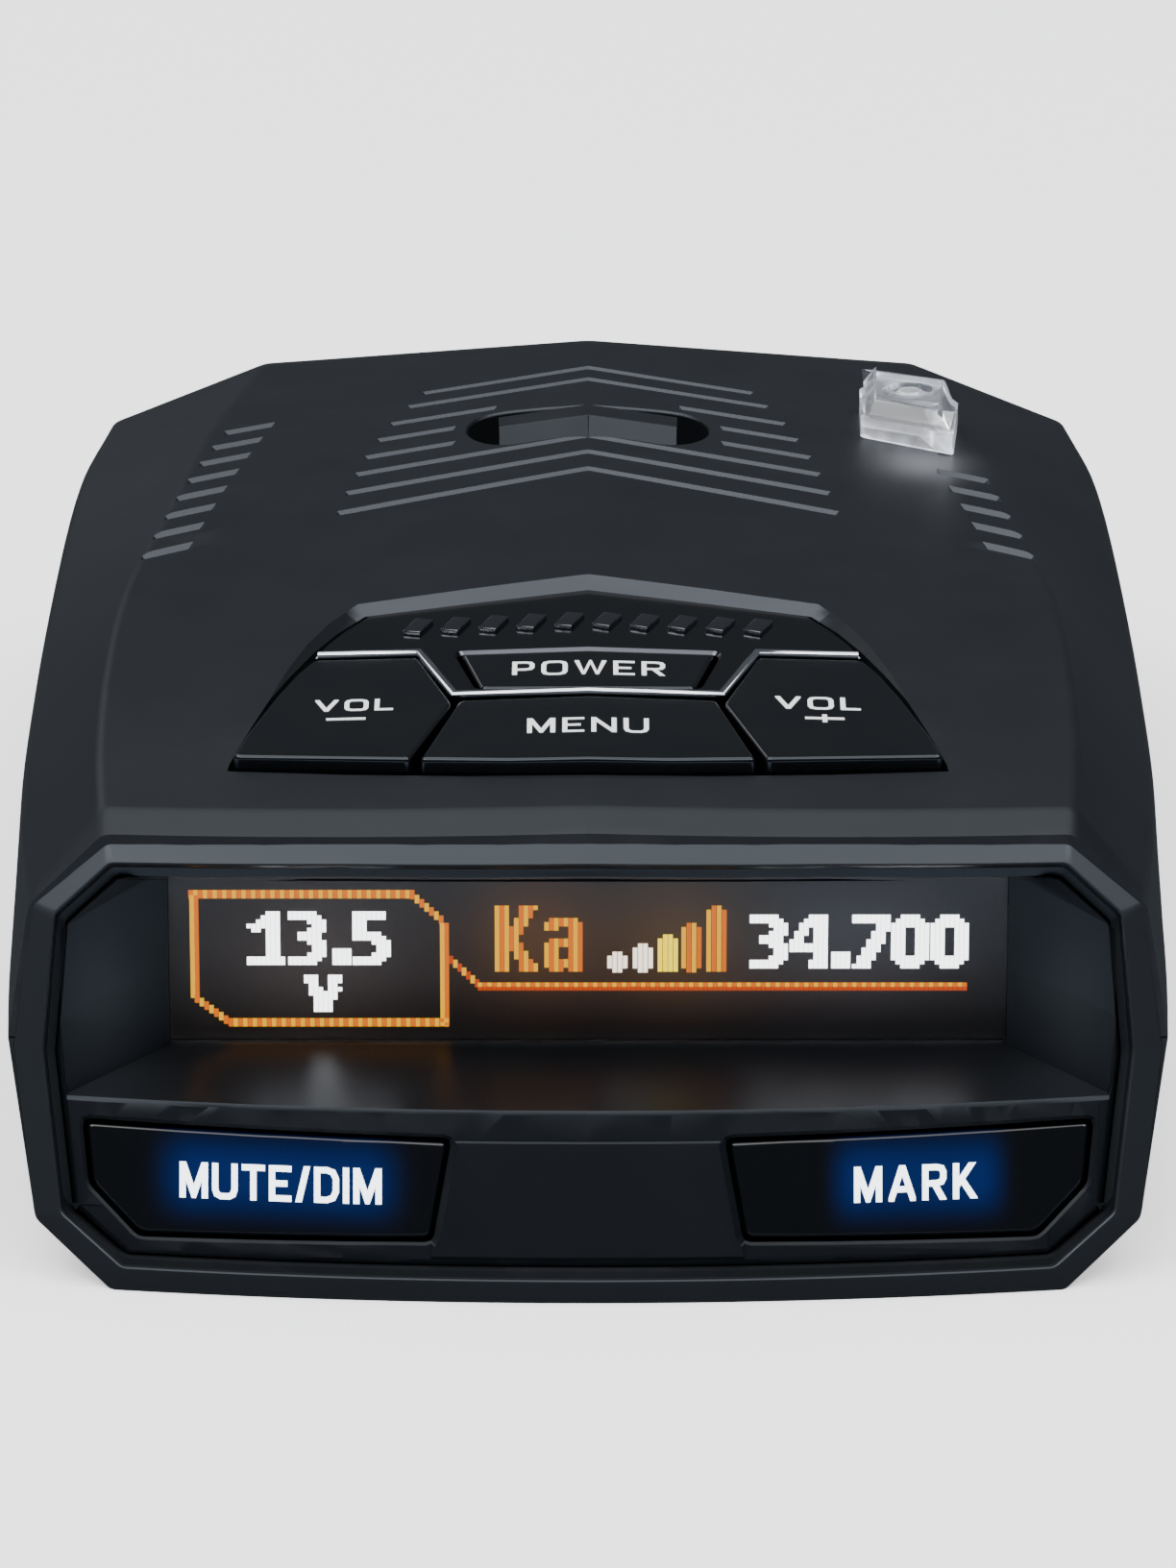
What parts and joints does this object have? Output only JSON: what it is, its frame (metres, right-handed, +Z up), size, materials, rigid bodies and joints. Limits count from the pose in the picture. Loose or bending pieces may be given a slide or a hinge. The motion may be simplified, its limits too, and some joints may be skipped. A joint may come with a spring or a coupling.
{
  "type": "radar detector",
  "caption": "Windshield radar detector with a wide display recess, roof keypad, two front keys, a sprung mount release and a bracket slot.",
  "frame": {"origin": "centre of the overall bounding box in plan, on the plane the flat underside rests on", "axes": "+X to the right for the person reading the display, +Y forwards to the windshield end, +Z up"},
  "size_m": [0.0872, 0.1349, 0.0345],
  "materials": {
    "satin_black_shell": "fine satin moulded plastic",
    "satin_grey_ring": "smooth satin plastic",
    "black_panel": "semi-gloss black plastic",
    "gloss_black_key": "high gloss, back-lit legends",
    "smoked_window": "smoked clear acrylic",
    "dark_chrome": "dark chrome plating",
    "clear_lens": "clear moulded acrylic",
    "infrared_window": "dark red infrared window",
    "circuit_board": "solder mask",
    "display_glass": "display glass",
    "silicone": "silicone rubber",
    "black_plastic": "moulded plastic",
    "plated_steel": "tin-plated steel",
    "spring_steel": "spring wire",
    "cast_zinc": "cast light alloy",
    "ceramic": "ceramic block",
    "label_stock": "blank label film",
    "screw_steel": "blackened steel"
  },
  "bodies": {
    "case": {"front_bezel": "satin_grey_ring", "front_panel": "black_panel", "display_window": "smoked_window", "display_module": "display_glass", "display_board": "circuit_board", "keypad_trim": "dark_chrome", "keypad_mat": "silicone", "key_board": "circuit_board", "power_switch": "black_plastic", "menu_switch": "black_plastic", "volume_down_switch": "black_plastic", "volume_up_switch": "black_plastic", "front_key_board": "circuit_board", "mute_dim_switch": "black_plastic", "mark_switch": "black_plastic", "rear_laser_lens": "clear_lens", "rear_laser_board": "circuit_board", "nose_laser_lens": "infrared_window", "nose_laser_board": "circuit_board", "upper_shell": "satin_black_shell", "rating_label": "label_stock", "lower_shell": "satin_black_shell", "power_jack": "black_plastic", "usb_port": "plated_steel", "audio_jack": "black_plastic", "main_board": "circuit_board", "processor_shield": "plated_steel", "gps_antenna": "ceramic", "rf_board": "circuit_board", "rf_shield": "plated_steel", "horn_antenna": "cast_zinc", "speaker_mesh": "black_plastic", "speaker_frame": "black_plastic", "speaker_cone": "black_plastic", "speaker_magnet": "plated_steel", "case_screw_1": "screw_steel", "case_screw_2": "screw_steel", "case_screw_3": "screw_steel", "case_screw_4": "screw_steel", "release_spring": "spring_steel"},
    "power": {"power_key": "gloss_black_key"},
    "menu": {"menu_key": "gloss_black_key"},
    "volume_down": {"volume_down_key": "gloss_black_key"},
    "volume_up": {"volume_up_key": "gloss_black_key"},
    "mute_dim": {"mute_dim_key": "gloss_black_key"},
    "mark": {"mark_key": "gloss_black_key"},
    "mount_release": {"mount_release_button": "black_panel", "mount_latch": "plated_steel"}
  },
  "joints": [
    {"name": "power_press", "type": "slide", "parent": "case", "child": "power", "axis": [0, 0, -1], "range_m": [0, 0.0006], "stiffness_N_per_m": 1500},
    {"name": "menu_press", "type": "slide", "parent": "case", "child": "menu", "axis": [0, 0, -1], "range_m": [0, 0.0006], "stiffness_N_per_m": 1500},
    {"name": "volume_down_press", "type": "slide", "parent": "case", "child": "volume_down", "axis": [0, 0, -1], "range_m": [0, 0.0006], "stiffness_N_per_m": 1500},
    {"name": "volume_up_press", "type": "slide", "parent": "case", "child": "volume_up", "axis": [0, 0, -1], "range_m": [0, 0.0006], "stiffness_N_per_m": 1500},
    {"name": "mute_dim_press", "type": "slide", "parent": "case", "child": "mute_dim", "axis": [0, 0.9135, -0.4067], "range_m": [0, 0.0006], "stiffness_N_per_m": 1500},
    {"name": "mark_press", "type": "slide", "parent": "case", "child": "mark", "axis": [0, 0.9135, -0.4067], "range_m": [0, 0.0006], "stiffness_N_per_m": 1500},
    {"name": "mount_release_press", "type": "slide", "parent": "case", "child": "mount_release", "axis": [0, 0, -1], "range_m": [0, 0.001], "stiffness_N_per_m": 900, "deforming": ["release_spring"]}
  ]
}
